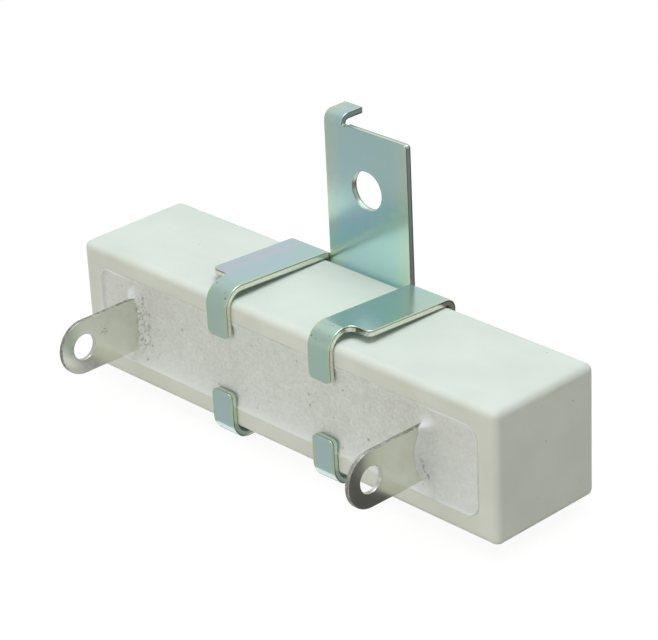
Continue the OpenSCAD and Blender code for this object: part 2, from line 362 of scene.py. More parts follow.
# Unglazed white ceramic: matt, slightly cool, with faint clouds from the firing and rare dark specks
case_ceramic, tree, place = new_finish("ceramic_unglazed")
firing_cloud = put(tree, "ShaderNodeTexNoise", {"Vector": place, "Scale": 1 / (7 * mm), "Detail": 3.0})
case_tone = put(tree, "ShaderNodeValToRGB", {"Fac": firing_cloud.outputs["Fac"]},
                stops=[(0.35, "#e2e3d8"), (0.65, "#e8e9df")])
powder_grain = put(tree, "ShaderNodeTexNoise", {"Vector": place, "Scale": 1 / (0.15 * mm), "Detail": 3.0})
iron_specks = put(tree, "ShaderNodeTexVoronoi", {"Vector": place, "Scale": 1 / (2.4 * mm),
                                                 "Randomness": 1.0})
speck_mask = put(tree, "ShaderNodeMapRange", {"Value": iron_specks.outputs["Distance"], "From Min": 0.02,
                                              "From Max": 0.045, "To Min": 0.7, "To Max": 0.0})
case_colour = put(tree, "ShaderNodeMix", {0: speck_mask.outputs["Result"], 6: case_tone.outputs["Color"],
                                          7: linear("#8a887a")}, data_type="RGBA")
case_rough = put(tree, "ShaderNodeMapRange", {"Value": powder_grain.outputs["Fac"], "To Min": 0.5,
                                              "To Max": 0.7})
case_bump = put(tree, "ShaderNodeBump", {"Height": powder_grain.outputs["Fac"], "Strength": 0.12,
                                         "Distance": 0.02 * mm})
end_finish(tree, Base_Color=case_colour.outputs[2], Roughness=case_rough.outputs["Result"],
           Normal=case_bump.outputs["Normal"], IOR=1.5, Specular_IOR_Level=0.35)
settle(pressed_case, "ceramic_case", "ceramic", case_ceramic)

# Cement
# Quartz cement poured round the element and left to set. It lies almost flush between the lugs, sinks
# in a pocket outside each, climbs the lugs and the rim, and is grainy with small pits and one crack.
cement_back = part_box("cement_fill")[1].y / mm
lug_face = lug_size.x / 2
lug_half_w = lug_size.z / 2
left_lug_x = -lug_pitch / 2
right_lug_x = lug_pitch / 2
half_x = cavity_size.x / 2
half_z = cavity_size.z / 2
grid_fine = 0.055
grid_plain = 0.12
grid_edge = 0.8
fine_outside = 2.8
fine_inside = 1.6
tiny = 1e-9


def spread(*stops):
    """Lines of a grid from stop to stop, with a fine pitch in every other span."""
    lines = [stops[0]]
    for span, (start, end) in enumerate(zip(stops, stops[1:])):
        count = round((end - start) / (grid_plain if span % 2 else grid_fine))
        lines += [start + (end - start) * (i + 1) / count for i in range(count)]
    return lines


# The face starts as a grid that is finer by the walls and the lugs. Its corners are drawn in to follow
# the round corners of the cavity
columns = spread(-half_x, grid_edge - half_x, left_lug_x - fine_outside - case_mid.x,
                 left_lug_x + fine_inside - case_mid.x, right_lug_x - fine_inside - case_mid.x,
                 right_lug_x + fine_outside - case_mid.x, half_x - grid_edge, half_x)
rows = spread(-half_z, grid_edge - half_z, half_z - grid_edge, half_z)

bpy.ops.object.select_all(action="DESELECT")
bpy.ops.mesh.primitive_grid_add(x_subdivisions=len(columns) - 1, y_subdivisions=len(rows) - 1, size=1,
                                rotation=(math.pi / 2, 0, 0), location=(0, 0, 0))
cement_face = bpy.context.object
cement_face.name = "poured_cement"
bpy.ops.object.transform_apply(location=True, rotation=True, scale=True)
points = np.empty(len(cement_face.data.vertices) * 3)
cement_face.data.vertices.foreach_get("co", points)
points = points.reshape(-1, 3)
across = np.interp((points[:, 0] + 0.5) * (len(columns) - 1), range(len(columns)), columns)
upward = np.interp((points[:, 2] + 0.5) * (len(rows) - 1), range(len(rows)), rows)
inner_x = half_x - cavity_r
inner_z = half_z - cavity_r
past_x = np.maximum(np.abs(across) - inner_x, 0)
past_z = np.maximum(np.abs(upward) - inner_z, 0)
square_ring = np.maximum(past_x, past_z)
round_ring = np.maximum(np.hypot(past_x, past_z), tiny)
draw_in = np.where((past_x > 0) & (past_z > 0), square_ring / round_ring, 1.0)
x = np.sign(across) * (np.minimum(np.abs(across), inner_x) + past_x * draw_in) + case_mid.x
z = np.sign(upward) * (np.minimum(np.abs(upward), inner_z) + past_z * draw_in) + case_mid.z

# How deep the face lies behind the rim: almost flush with a sag between the lugs, and sunk in a pocket
# outside each, which falls away more slowly past the ends of the lug
flush_dip = 0.12
sag_dip = 0.31
sag_run = 1.5
pocket_dip = 0.5
pocket_run = 1.2
pocket_end_more = 1.6
pocket_end_run = 1.4
outside = np.abs(x) - lug_pitch / 2 - lug_face
inner_gap = np.maximum(-outside - 2 * lug_face, 0)
beyond = np.maximum(np.abs(z - lug_mid.z) - lug_half_w, 0)
slope_run = pocket_run + pocket_end_more * np.clip(beyond / pocket_end_run, 0, 1)
dip = flush_dip + (pocket_dip - flush_dip) * (1 - (1 - np.clip(outside / slope_run, 0, 1)) ** 2)
dip += sag_dip * np.clip(inner_gap / sag_run, 0, 1)

# The mound that climbs the outer face of each lug, lower on the left, the film on the inner face of the
# right lug, and the groove along the inner face of the left one
mound_edge = 1.1
mound_crown = 0.9
mound_run = 2.4
mound_power = 2.4
mound_end_run = 0.45
left_mound_part = 0.6
film_rise = 0.4
film_run = 0.25
film_end_run = 0.4
groove_dip = 0.75
groove_w = 0.9
groove_end_run = 0.5
crown = mound_edge + mound_crown * np.clip(1 - ((z - lug_mid.z) / lug_half_w) ** 2, 0, 1)
crown = np.where(x < 0, left_mound_part, 1.0) * crown * np.exp(-beyond / mound_end_run)
mound = np.where(outside > 0, np.clip(1 - outside / mound_run, 0, 1) ** mound_power, 0)
film = np.where(x > 0, film_rise * np.exp(-inner_gap / film_run), 0) * np.exp(-beyond / film_end_run)
dip -= crown * mound + np.where(outside <= 0, film, 0)
groove = groove_dip * np.exp(-(inner_gap / groove_w) ** 2 - (beyond / groove_end_run) ** 2)
dip += np.where(x < 0, groove * np.clip(-outside / (2 * lug_face), 0, 1), 0)

# The rise at the rim, long between the lugs and short in the pockets, where its bead is full, and the
# heap at the upper end of each lug
rim_gap = 0.03
rim_bead = 0.12
bead_w = 0.15
flush_bead_part = 0.1
flush_rim_run = 1.2
pocket_rim_run = 0.2
pocket_from_lug = 1.5
heap_rise = 0.55
heap_out = 0.6
heap_w = 0.9
heap_up = 0.1
heap_h = 0.6
to_wall = np.minimum(half_x - np.abs(x - case_mid.x), half_z - np.abs(z - case_mid.z))
corner_wall = cavity_r - np.hypot(past_x * draw_in, past_z * draw_in)
to_wall = np.maximum(np.where((past_x > 0) & (past_z > 0), corner_wall, to_wall), 0)
in_pocket = np.clip(outside / pocket_from_lug, 0, 1)
rim_run = flush_rim_run + (pocket_rim_run - flush_rim_run) * in_pocket
dip -= dip * np.exp(-np.maximum(to_wall - bead_w, 0) / rim_run)
bead = np.clip(1 - ((to_wall - bead_w) / bead_w) ** 2, 0, 1)
bead_part = flush_bead_part + (1 - flush_bead_part) * in_pocket
dip += rim_gap - (rim_gap + rim_bead * bead_part) * bead
over_lug = z - lug_mid.z - lug_half_w
heap = np.exp(-((outside - heap_out) / heap_w) ** 2 - ((over_lug - heap_up) / heap_h) ** 2)
dip -= heap_rise * heap

# Waves and grain, which are quiet by the rim, and the lumpy crust that climbs the inner face of the left lug
wave_h = 0.03
grain_h = 0.014
quiet_run = 0.25
crust_w = 0.9
crust_full = 1.2
crust_ragged = 0.5
crust_end_run = 0.25
crust_rise = 0.12
crust_ragged_rise = 0.05
crust_lumps_rise = 0.08
climb_run = 0.15
climb_rise = 0.92
climb_ragged_rise = 0.1
climb_lumps_rise = 0.12


def field(wide, high, layer):
    """Smooth noise all over the face, with bumps of a width and a height, from a layer of its own."""
    return np.array([noise.noise(Vector((a / wide, layer, b / high))) for a, b in zip(x, z)])


waves = field(4, 3, 0.3)
grain = field(0.34, 0.34, 5.1)
ragged = field(0.5, 0.5, 9.7)
lumps = field(0.22, 0.22, 3.3)
crust = np.clip(crust_full - inner_gap / crust_w + crust_ragged * ragged, 0, 1)
crust = np.where((x < 0) & (outside <= 0), crust, 0) * np.exp(-beyond / crust_end_run)
quiet = np.clip(to_wall / quiet_run, 0, 1)
climb = climb_rise + climb_ragged_rise * ragged + climb_lumps_rise * lumps
climb *= np.where(x < 0, np.exp(-(inner_gap / climb_run) ** 2), 0)
lumpy = crust_rise + crust_ragged_rise * ragged + crust_lumps_rise * lumps + climb
dip += (wave_h * waves + grain_h * grain) * quiet - crust * lumpy

# Pits, all over the face and more of them in the crust, each darkened with painted shade
pit_count = 34
pit_margin_x = 0.5
pit_margin_z = 0.4
pit_radii = (0.06, 0.13)
crust_pit_count = 22
crust_pit_gaps = (0.2, 1.1)
crust_pit_heights = (-2.8, 2.6, -1.2)
crust_pit_radii = (0.07, 0.14)
pit_depth = 0.9
pit_shade = (0.3, 1.0)
draws = random.Random(7)
pits = [(draws.uniform(x.min() + pit_margin_x, x.max() - pit_margin_x),
         draws.uniform(z.min() + pit_margin_z, z.max() - pit_margin_z),
         draws.uniform(*pit_radii)) for _ in range(pit_count)]
pits += [(left_lug_x + lug_face + draws.uniform(*crust_pit_gaps),
          lug_mid.z + draws.triangular(*crust_pit_heights),
          draws.uniform(*crust_pit_radii)) for _ in range(crust_pit_count)]
hollow_shade = np.zeros(len(x))
for pit_x, pit_z, pit_r in pits:
    near = np.exp(-((x - pit_x) ** 2 + (z - pit_z) ** 2) / pit_r ** 2)
    dip += pit_depth * pit_r * near
    hollow_shade = np.maximum(hollow_shade, near * draws.uniform(*pit_shade))

# The crack outside the right lug, a thin and broken line beside its lower half, darkened with painted shade
crack_gap = 0.27
crack_lean = 0.07
crack_wave = 0.03
crack_turns = 4.3
crack_ragged = 0.07
crack_w = 0.036
crack_top = 0.1
crack_foot = 3.1
crack_fade = 0.3
crack_open = 0.55
crack_breaks = 2.2
crack_fullest = 0.85
crack_dip = 0.12
crack_x = (right_lug_x + lug_face + crack_gap - crack_lean * (z - lug_mid.z)
           + crack_wave * np.sin(z * crack_turns) + crack_ragged * ragged)
below_top = np.clip((lug_mid.z - crack_top - z) / crack_fade, 0, 1)
above_foot = np.clip((z - lug_mid.z + crack_foot) / crack_fade, 0, 1)
in_crack = np.exp(-((x - crack_x) / crack_w) ** 2) * below_top
in_crack *= above_foot * np.clip(crack_open + crack_breaks * grain, 0, crack_fullest)
dip += crack_dip * in_crack
hollow_shade = np.maximum(hollow_shade, in_crack)

# Chalk and painted light, where the paste is made pale: chalk in the crust, a painted highlight on the bead,
# the heaps and a band along the lower rim, where they face the light, and painted light that lifts the
# pockets' shade
heap_highlight = 0.8
pocket_painted_light = 0.35
low_rim_highlight_run = 1.1
low_rim_highlight = np.exp(-np.maximum(z - z.min() - bead_w, 0) / low_rim_highlight_run) * (1 - in_pocket)
chalk_and_painted_light = np.maximum(bead_part * bead, np.maximum(heap_highlight * heap, pocket_painted_light * in_pocket))
chalk_and_painted_light = np.maximum(np.maximum(crust, chalk_and_painted_light), low_rim_highlight)

points[:, 0] = x
points[:, 1] = case_low.y + dip
points[:, 2] = z
cement_face.data.vertices.foreach_set("co", points.ravel())
for name, values in (("hollow_shade", hollow_shade), ("bubbly", crust), ("chalk_and_painted_light", chalk_and_painted_light)):
    cement_face.data.attributes.new(name, "FLOAT", "POINT").data.foreach_set("value", values)

# Its sides and back follow the cavity
take(cement_face)
bpy.ops.object.mode_set(mode="EDIT")
choose("EDGE", lambda e: e.is_boundary)
bpy.ops.mesh.extrude_edges_move(TRANSFORM_OT_translate={"value": (0, 1, 0)})
bpy.ops.transform.resize(value=(1, 0, 1), center_override=(0, cement_back, 0))
bpy.ops.mesh.edge_face_add()
bpy.ops.mesh.select_all(action="SELECT")
bpy.ops.mesh.normals_make_consistent(inside=False)
bpy.ops.object.mode_set(mode="OBJECT")
bpy.ops.object.shade_smooth_by_angle(angle=math.radians(60))

# Set quartz cement: dry and rough, sand grains of about a quarter of a millimetre in a grey paste, with
# painted shade in the pits, the crack and the bubbles of the crust, chalk in the crust, and painted light
# where the paste faces the light and in the pockets
quartz_cement, tree, place = new_finish("quartz_cement")
paste = put(tree, "ShaderNodeTexNoise", {"Vector": place, "Scale": 1 / (1.8 * mm), "Detail": 5.0,
                                         "Roughness": 0.65})
paste_tone = put(tree, "ShaderNodeValToRGB", {"Fac": paste.outputs["Fac"]},
                 stops=[(0.3, "#dddfda"), (0.7, "#ecede9")])
sand = put(tree, "ShaderNodeTexVoronoi", {"Vector": place, "Scale": 1 / (0.26 * mm), "Randomness": 1.0})
sand_tone = put(tree, "ShaderNodeValToRGB", {"Fac": sand.outputs["Color"]},
                stops=[(0.1, "#d0d2ce"), (0.5, "#e4e5e2"), (0.9, "#f3f4f2")])
sandy = put(tree, "ShaderNodeMix", {0: 0.4, 6: paste_tone.outputs["Color"], 7: sand_tone.outputs["Color"]},
            data_type="RGBA")
# Chalk in the crust, with painted highlights on the bead, the heaps and the lower rim, and painted light in
# the pockets
chalk_and_light_part = put(tree, "ShaderNodeAttribute", attribute_name="chalk_and_painted_light")
chalked_and_lit = put(tree, "ShaderNodeMix", {0: chalk_and_light_part.outputs["Fac"], 6: sandy.outputs[2],
                                     7: linear("#f5f6f4")}, data_type="RGBA")
hollow_shade_part = put(tree, "ShaderNodeAttribute", attribute_name="hollow_shade")
bubbly_part = put(tree, "ShaderNodeAttribute", attribute_name="bubbly")
# Painted shade in the bubbles of the crust
bubbles = put(tree, "ShaderNodeTexNoise", {"Vector": place, "Scale": 1 / (0.3 * mm), "Detail": 1.0})
bubble_shade = put(tree, "ShaderNodeMapRange", {"Value": bubbles.outputs["Fac"], "From Min": 0.47,
                                               "From Max": 0.37, "To Max": 0.45})
bubble_shade_mask = put(tree, "ShaderNodeMath", {0: bubbly_part.outputs["Fac"], 1: bubble_shade.outputs["Result"]},
                  operation="MULTIPLY")
shade_part = put(tree, "ShaderNodeMath", {0: hollow_shade_part.outputs["Fac"], 1: bubble_shade_mask.outputs["Value"]},
                operation="MAXIMUM")
# The painted shade of the pits, the crack and the bubbles darkens the colour here
cement_colour = put(tree, "ShaderNodeMix", {0: shade_part.outputs["Value"], 6: chalked_and_lit.outputs[2],
                                            7: linear("#84827a")}, data_type="RGBA")
grit = put(tree, "ShaderNodeTexNoise", {"Vector": place, "Scale": 1 / (0.12 * mm), "Detail": 4.0,
                                        "Roughness": 0.7})
grit_height = put(tree, "ShaderNodeMath", {0: grit.outputs["Fac"], 1: sand.outputs["Distance"]},
                  operation="SUBTRACT")
cement_bump = put(tree, "ShaderNodeBump", {"Height": grit_height.outputs["Value"], "Strength": 0.4,
                                           "Distance": 0.04 * mm})
end_finish(tree, Base_Color=cement_colour.outputs[2], Roughness=0.88, Normal=cement_bump.outputs["Normal"],
           Specular_IOR_Level=0.25)
settle(cement_face, "cement_fill", "cement", quartz_cement)

# Mounting bracket
# One piece of steel sheet, blanked, punched and folded round the case, then zinc plated and given a
# blue passivation. A quarter is shaped as a skin and mirrored. The tab and its hook follow, and then
# the skin gets the sheet's thickness, the screw hole and the small roll of the blanked edges.
sheet_t = 0.7
skin_y = -sheet_t
bend_r = 0.6
wrap_r = 1.6
arm_slope = math.radians(3)
arm_in = 5.97
arm_out = 11.47
arm_seat = 0.1
finger_w = 3.0
finger_grip = 4.1
neck_l = 0.9
corner_r = 0.6
tab_corner_r = 0.35
notch_r = 0.8
tab_half = 5.85
tab_top = 6.45
hook_w = 2.5
hook_bend_r = 0.4
hook_top = 7.4
hook_reach = 2.45
relief_w = 0.7
relief_round = 0.9
screw_hole_r = 2.1
screw_punch_l = 4
blank_roll = 0.07
bend_steps = 12
wrap_steps = 20
corner_steps = 6
near_middle = 0.5
top_z = case_high.z - case_mid.z
plate_z = top_z - bend_r
bend_z = top_z + arm_seat - bend_r * math.cos(arm_slope)
reach = case_high.y - case_low.y
arm_run = (reach - bend_r - wrap_r - (wrap_r - bend_r) * math.sin(arm_slope)) / math.cos(arm_slope)
arm_way = Vector((0, -math.cos(arm_slope), math.sin(arm_slope)))
arm_up = Vector((0, math.sin(arm_slope), math.cos(arm_slope)))
arm_root = Vector((0, skin_y - bend_r, bend_z)) + bend_r * arm_up
shoulder = arm_root + (arm_run - neck_l) * arm_way
neck_end = arm_root + arm_run * arm_way
wrap_mid = neck_end - wrap_r * arm_up
finger_run = wrap_mid.z - (top_z - finger_grip)


def pull(way):
    """Extrudes what is selected along a vector."""
    bpy.ops.mesh.extrude_region_move(TRANSFORM_OT_translate={"value": way})


def fold(angle, y, z, steps=bend_steps):
    """Turns the selected edge about an axis along X, as a bend in the sheet. Spin counts clockwise."""
    bpy.ops.mesh.spin(steps=steps, angle=-angle, center=(0, y, z), axis=(1, 0, 0))


def split(x):
    """Cuts the selected faces by a plane across X."""
    bpy.ops.mesh.bisect(plane_co=(x, 0, 0), plane_no=(1, 0, 0))


def edge_at(low_x, high_x, y, z):
    """Selects the edges along X between two places, at one line of the sheet."""
    choose("EDGE", lambda e: low_x - same_spot < middle(e).x < high_x + same_spot
           and length_along(e, 0) > 5 * same_spot
           and all(abs(v.co.y - y) < same_spot / 2 and abs(v.co.z - z) < same_spot / 2 for v in e.verts))


def in_plate(face):
    """Whether a face lies in the plane of the plate and the tab."""
    return abs(face.normal.y) > face_on and abs(middle(face).y - skin_y) < same_spot


def round_off(radius, *corners, steps=corner_steps):
    """Rounds corners of the sheet's outline."""
    choose("VERT", lambda v: any((v.co - Vector(c)).length < 2 * same_spot for c in corners))
    bpy.ops.mesh.bevel(offset=radius, segments=steps, affect="VERTICES")


def join_flats():
    """Makes one face of all that lies in one plane."""
    bpy.ops.mesh.select_mode(type="FACE")
    bpy.ops.mesh.select_all(action="SELECT")
    bpy.ops.mesh.remove_doubles(threshold=0.001)
    bpy.ops.mesh.dissolve_limited(angle_limit=math.radians(0.4))


bpy.ops.object.select_all(action="DESELECT")
bpy.ops.mesh.primitive_plane_add(size=1, location=(arm_out / 2, skin_y, plate_z / 2),
                                 rotation=(-math.pi / 2, 0, 0))
bracket = bpy.context.object
bracket.name = "folded_bracket"
bracket.scale = (arm_out, plate_z, 1)
bpy.ops.object.transform_apply(location=True, rotation=True, scale=True)
bpy.ops.object.mode_set(mode="EDIT")
bpy.ops.mesh.select_all(action="SELECT")
split(arm_in)
edge_at(arm_in, arm_out, skin_y, plate_z)
pull((0, 0, bend_z - plate_z))
fold(math.pi / 2 - arm_slope, skin_y - bend_r, bend_z)
pull(shoulder - arm_root)
choose("FACE", lambda f: abs(middle(f).y - (arm_root.y + shoulder.y) / 2) < near_middle)
split(arm_in + finger_w)
edge_at(arm_in, arm_in + finger_w, shoulder.y, shoulder.z)
pull(neck_end - shoulder)
fold(math.pi / 2 + arm_slope, wrap_mid.y, wrap_mid.z, wrap_steps)
pull((0, 0, -finger_run))
join_flats()
round_off(corner_r, (arm_out, shoulder.y, shoulder.z), (arm_in, case_low.y, wrap_mid.z - finger_run),
          (arm_in + finger_w, case_low.y, wrap_mid.z - finger_run))
round_off(notch_r, (arm_in + finger_w, shoulder.y, shoulder.z))
bpy.ops.object.mode_set(mode="OBJECT")
modify(bracket, "MIRROR", use_axis=(True, False, True), use_mirror_merge=True, merge_threshold=0.005)
bracket.location.z = case_mid.z
bpy.ops.object.transform_apply(location=True, rotation=True, scale=True)

hook_z = hook_top - sheet_t - hook_bend_r
hook_in = hook_w - tab_half
tab_z = plate_z + case_mid.z
tab_mid_z = (hook_z + tab_z) / 2
bpy.ops.object.mode_set(mode="EDIT")
join_flats()
for side in (-tab_half, tab_half):
    choose("FACE", in_plate)
    split(side)
edge_at(-tab_half, tab_half, skin_y, tab_z)
pull((0, 0, hook_z - tab_z))
choose("FACE", lambda f: in_plate(f) and abs(middle(f).z - tab_mid_z) < near_middle)
split(hook_in)
choose("FACE", lambda f: in_plate(f) and abs(middle(f).z - tab_mid_z) < near_middle and middle(f).x > hook_in)
split(hook_in + relief_w)
edge_at(hook_in + relief_w, tab_half, skin_y, hook_z)
pull((0, 0, tab_top - hook_z))
edge_at(-tab_half, hook_in, skin_y, hook_z)
fold(-math.pi / 2, hook_bend_r, hook_z)
pull((0, hook_reach - hook_bend_r, 0))
join_flats()
round_off(tab_corner_r, (tab_half, skin_y, tab_top))
round_off(relief_round * (tab_top - hook_z), (hook_in + relief_w, skin_y, hook_z), steps=5)
bpy.ops.mesh.select_all(action="SELECT")
bpy.ops.mesh.normals_make_consistent(inside=False)
bpy.ops.object.mode_set(mode="OBJECT")
rear_face = max(bracket.data.polygons, key=lambda f: f.area)
if rear_face.normal.y < 0:
    bpy.ops.object.mode_set(mode="EDIT")
    bpy.ops.mesh.flip_normals()
    bpy.ops.object.mode_set(mode="OBJECT")

skin = BVHTree.FromPolygons([v.co.copy() for v in bracket.data.vertices],
                            [f.vertices[:] for f in bracket.data.polygons])
room_for_edges(bracket)
modify(bracket, "SOLIDIFY", thickness=sheet_t, offset=1.0, use_even_offset=True, use_rim=True,
       material_offset_rim=1)
bpy.ops.object.select_all(action="DESELECT")
bpy.ops.mesh.primitive_cylinder_add(vertices=72, radius=screw_hole_r, depth=screw_punch_l,
                                    rotation=(math.pi / 2, 0, 0), location=(0, 0, 0))
hole_punch = bpy.context.object
room_for_edges(hole_punch)
for face in hole_punch.data.polygons:
    face.material_index = 1
cut_away(bracket, hole_punch)
modify(bracket, "BEVEL", width=blank_roll, segments=2, limit_method="ANGLE", angle_limit=math.radians(50),
       use_clamp_overlap=False)
smooth(bracket, 60)
through = [skin.find_nearest(v.co)[3] / sheet_t for v in bracket.data.vertices]
bracket.data.attributes.new("through_sheet", "FLOAT", "POINT").data.foreach_set("value", through)

# Blue passivated zinc: a bright plating under a clear film. The film goes from blue on the left to green
# on the right, turns yellow by the edges, where the plating is thicker, and green round the fingers. The
# left arms show a lilac streak, and the fingers a few dark nicks from being closed on the case
film_wander = 1.2
blue_zinc, tree, place = new_finish("blue_passivated_zinc")
axes = put(tree, "ShaderNodeSeparateXYZ", {"Vector": place})
drawn_out = put(tree, "ShaderNodeMapping", {"Vector": place, "Scale": (1.0, 0.3, 0.3)})
film_drift = put(tree, "ShaderNodeTexNoise", {"Vector": drawn_out.outputs["Vector"], "Scale": 1 / (4 * mm),
                                              "Detail": 2.0})
wander = put(tree, "ShaderNodeTexNoise", {"Vector": place, "Scale": 1 / (3 * mm), "Detail": 2.0})
along_x = put(tree, "ShaderNodeMath", {0: wander.outputs["Fac"], 1: film_wander * mm, 2: axes.outputs["X"]},
              operation="MULTIPLY_ADD")
film_thins = put(tree, "ShaderNodeMapRange", {"Value": along_x.outputs["Value"], "From Min": -12 * mm,
                                              "From Max": 12 * mm, "To Min": 0.42, "To Max": 0.16})
film_depth = put(tree, "ShaderNodeMath", {0: film_drift.outputs["Fac"], 1: 0.5,
                                          2: film_thins.outputs["Result"]}, operation="MULTIPLY_ADD")
film_tone = put(tree, "ShaderNodeValToRGB", {"Fac": film_depth.outputs["Value"]},
                stops=[(0.3, "#cbe8d6"), (0.5, "#c3e6e4"), (0.7, "#c8e2ea")])
from_streak = put(tree, "ShaderNodeMath", {0: along_x.outputs["Value"], 1: 9.5 * mm}, operation="ADD")
beside_streak = put(tree, "ShaderNodeMath", {0: from_streak.outputs["Value"]}, operation="ABSOLUTE")
streak_part = put(tree, "ShaderNodeMapRange", {"Value": beside_streak.outputs["Value"], "From Min": 0.2 * mm,
                                               "From Max": 1.6 * mm, "To Min": 0.6, "To Max": 0.0})
streaked = put(tree, "ShaderNodeMix", {0: streak_part.outputs["Result"], 6: film_tone.outputs["Color"],
                                       7: linear("#d9deea")}, data_type="RGBA")
fingers_part = put(tree, "ShaderNodeMapRange", {"Value": axes.outputs["Y"], "From Min": -12.0 * mm,
                                                "From Max": -14.8 * mm, "To Max": 0.8})
from_middle = put(tree, "ShaderNodeMath", {0: axes.outputs["X"]}, operation="ABSOLUTE")
off_finger = put(tree, "ShaderNodeMath", {0: from_middle.outputs["Value"], 1: (arm_in + finger_w / 2) * mm},
                 operation="SUBTRACT")
beside_finger = put(tree, "ShaderNodeMath", {0: off_finger.outputs["Value"]}, operation="ABSOLUTE")
finger_edge = put(tree, "ShaderNodeMapRange", {"Value": beside_finger.outputs["Value"], "From Min": 0.5 * mm,
                                               "From Max": 1.3 * mm})
upper_part = put(tree, "ShaderNodeMapRange", {"Value": axes.outputs["Z"], "From Min": -19 * mm,
                                              "From Max": -15 * mm})
finger_middle = put(tree, "ShaderNodeMix", {0: upper_part.outputs["Result"], 6: linear("#cce6e6"),
                                            7: linear("#cbe5d6")}, data_type="RGBA")
finger_tone = put(tree, "ShaderNodeMix", {0: finger_edge.outputs["Result"], 6: finger_middle.outputs[2],
                                          7: linear("#cbe8cf")}, data_type="RGBA")
greened = put(tree, "ShaderNodeMix", {0: fingers_part.outputs["Result"], 6: streaked.outputs[2],
                                      7: finger_tone.outputs[2]}, data_type="RGBA")
wandered = put(tree, "ShaderNodeMath", {0: wander.outputs["Fac"], 1: film_wander * mm,
                                        2: from_middle.outputs["Value"]}, operation="MULTIPLY_ADD")
across_tab = put(tree, "ShaderNodeMapRange", {"Value": wandered.outputs["Value"], "From Max": 13 * mm})
edge_part = put(tree, "ShaderNodeValToRGB", {"Fac": across_tab.outputs["Result"]},
                stops=[(0.3, "#000000"), (0.49, "#cccccc"), (0.55, "#000000"), (0.88, "#000000"),
                       (0.96, "#cccccc")])
film_colour = put(tree, "ShaderNodeMix", {0: edge_part.outputs["Color"], 6: greened.outputs[2],
                                          7: linear("#dfebd0")}, data_type="RGBA")
nicks = put(tree, "ShaderNodeTexVoronoi", {"Vector": place, "Scale": 1 / (0.5 * mm), "Randomness": 1.0})
nick_deep = put(tree, "ShaderNodeMapRange", {"Value": nicks.outputs["Distance"], "From Min": 0.12,
                                             "From Max": 0.24, "To Min": 1.0, "To Max": 0.0})
nick_some = put(tree, "ShaderNodeMapRange", {"Value": nicks.outputs["Color"], "From Min": 0.68,
                                             "From Max": 0.7})
nick_chosen = put(tree, "ShaderNodeMath", {0: nick_deep.outputs["Result"], 1: nick_some.outputs["Result"]},
                  operation="MULTIPLY")
nick_mask = put(tree, "ShaderNodeMath", {0: nick_chosen.outputs["Value"], 1: fingers_part.outputs["Result"]},
                operation="MULTIPLY")
zinc_colour = put(tree, "ShaderNodeMix", {0: nick_mask.outputs["Value"], 6: film_colour.outputs[2],
                                          7: linear("#66736d")}, data_type="RGBA")
zinc_patch = put(tree, "ShaderNodeTexNoise", {"Vector": place, "Scale": 1 / (0.8 * mm), "Detail": 4.0})
zinc_rough = put(tree, "ShaderNodeMapRange", {"Value": zinc_patch.outputs["Fac"], "To Min": 0.15,
                                              "To Max": 0.27})
zinc_bump = put(tree, "ShaderNodeBump", {"Height": zinc_patch.outputs["Fac"], "Strength": 0.03,
                                         "Distance": 0.02 * mm})
end_finish(tree, Base_Color=zinc_colour.outputs[2], Metallic=1.0, Roughness=zinc_rough.outputs["Result"],
           Normal=zinc_bump.outputs["Normal"])

# The blanked edge: scored across by the die, with a thicker film that is yellow, and green below, where it
# ran down. A dark line under the rolled corner is a painted reflection; the punch leaves a bright cut and a
# torn, darker burr side
blanked_edge, tree, place = new_finish("blanked_zinc_edge")
die_scores = put(tree, "ShaderNodeTexNoise", {"Vector": place, "Scale": 1 / (0.2 * mm), "Detail": 3.0})
edge_tone = put(tree, "ShaderNodeValToRGB", {"Fac": die_scores.outputs["Fac"]},
                stops=[(0.3, "#dce0cd"), (0.7, "#f4f6ea")])
axes = put(tree, "ShaderNodeSeparateXYZ", {"Vector": place})
drained = put(tree, "ShaderNodeMapRange", {"Value": axes.outputs["Z"], "From Min": -16.5 * mm,
                                           "From Max": -19.5 * mm})
edge_film = put(tree, "ShaderNodeMix", {0: drained.outputs["Result"], 6: edge_tone.outputs["Color"],
                                        7: linear("#cfe2d2")}, data_type="RGBA")
tab_part = put(tree, "ShaderNodeMapRange", {"Value": axes.outputs["Z"], "From Min": -8 * mm,
                                            "From Max": -4 * mm})
tab_film = put(tree, "ShaderNodeMix", {0: tab_part.outputs["Result"], 6: edge_film.outputs[2],
                                       7: linear("#def2e8")}, data_type="RGBA")
through_part = put(tree, "ShaderNodeAttribute", attribute_name="through_sheet")
# Bands through the sheet: the darker burr side, the bright cut, a dark line under the roll that is a painted
# reflection, and the roll
cut_bands_and_reflection = put(tree, "ShaderNodeValToRGB", {"Fac": through_part.outputs["Fac"]},
                stops=[(0.1, "#b4bbaa"), (0.22, "#ffffff"), (0.7, "#ffffff"), (0.77, "#969d8b"),
                       (0.84, "#969d8b"), (0.91, "#ffffff")])
edge_colour = put(tree, "ShaderNodeMix", {0: 1.0, 6: tab_film.outputs[2], 7: cut_bands_and_reflection.outputs["Color"]},
                  data_type="RGBA", blend_type="MULTIPLY")
edge_rough = put(tree, "ShaderNodeMapRange", {"Value": die_scores.outputs["Fac"], "To Min": 0.14,
                                              "To Max": 0.32})
edge_bump = put(tree, "ShaderNodeBump", {"Height": die_scores.outputs["Fac"], "Strength": 0.15,
                                         "Distance": 0.02 * mm})
end_finish(tree, Base_Color=edge_colour.outputs[2], Metallic=1.0, Roughness=edge_rough.outputs["Result"],
           Normal=edge_bump.outputs["Normal"])
settle(bracket, "mounting_bracket", "zinc_steel", blue_zinc, blanked_edge)

# Floor
# A sweep of pale paper under the lower arms. To the camera and in reflections it is near white, and it
# keeps the shadow of the object.
floor_z = cad_box[0].z
sweep_size = 4000
white_part = 0.86


